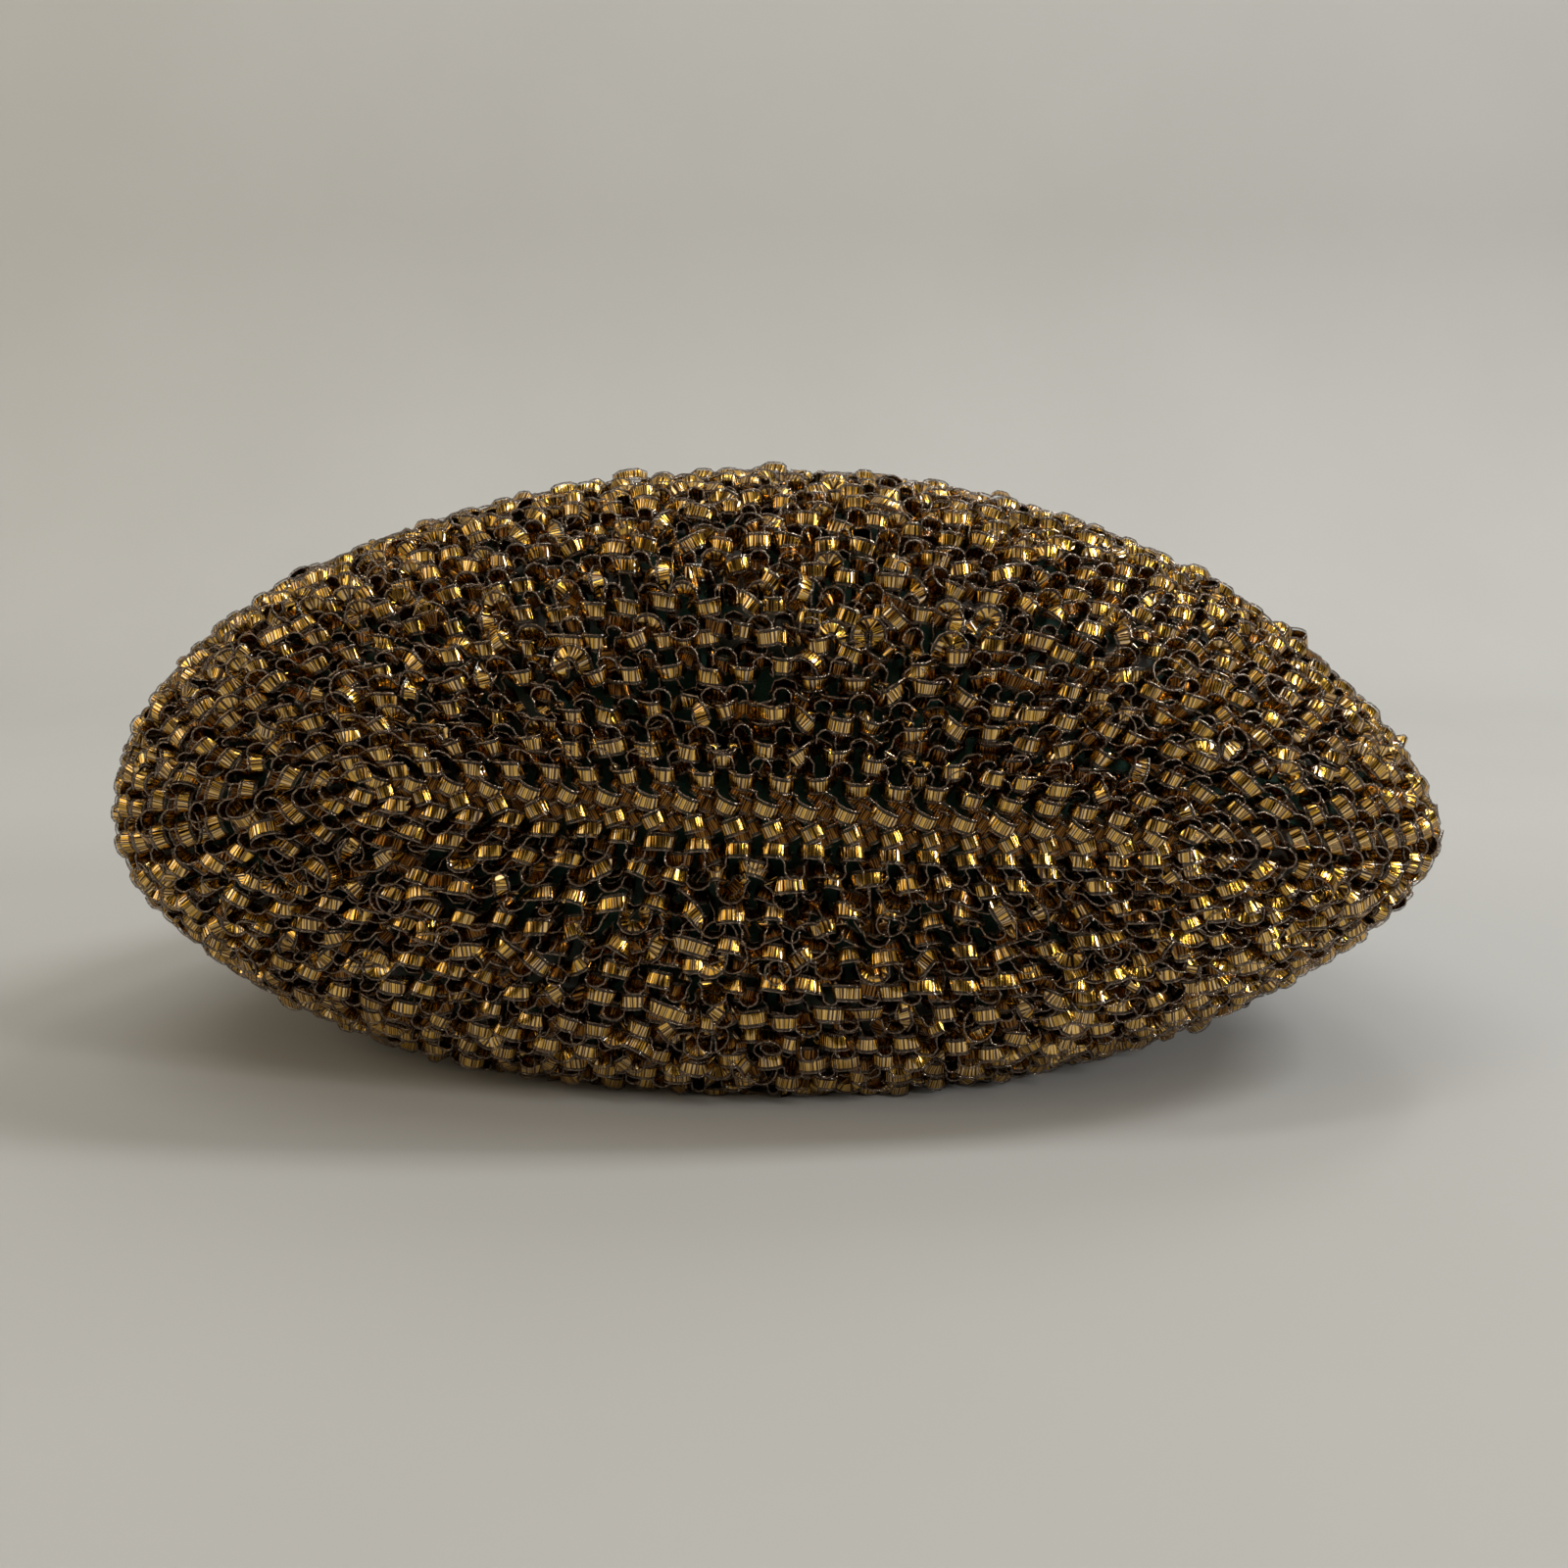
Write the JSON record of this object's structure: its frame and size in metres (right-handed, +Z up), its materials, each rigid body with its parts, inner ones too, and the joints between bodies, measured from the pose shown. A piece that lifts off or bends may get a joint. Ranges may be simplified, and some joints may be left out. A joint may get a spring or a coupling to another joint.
{
  "type": "wire bag",
  "caption": "Small lens-shaped bag knitted in the round from flat gold-filled clear tape, lying on its back with its base seam to the front and an open mouth behind, lined with dark cloth.",
  "frame": {"origin": "middle of the bag's box on the surface that it lies on", "axes": "+X to the right tip, +Y from the base seam to the mouth, +Z up from the surface"},
  "size_m": [0.23, 0.15, 0.1],
  "materials": {
    "knit": "clear tape over gold film",
    "seam": "clear tape over gold film",
    "lining": "dull satin"
  },
  "bodies": {
    "root": {"knit_body": "knit", "base_seam": "seam", "lining": "lining"}
  },
  "joints": []
}
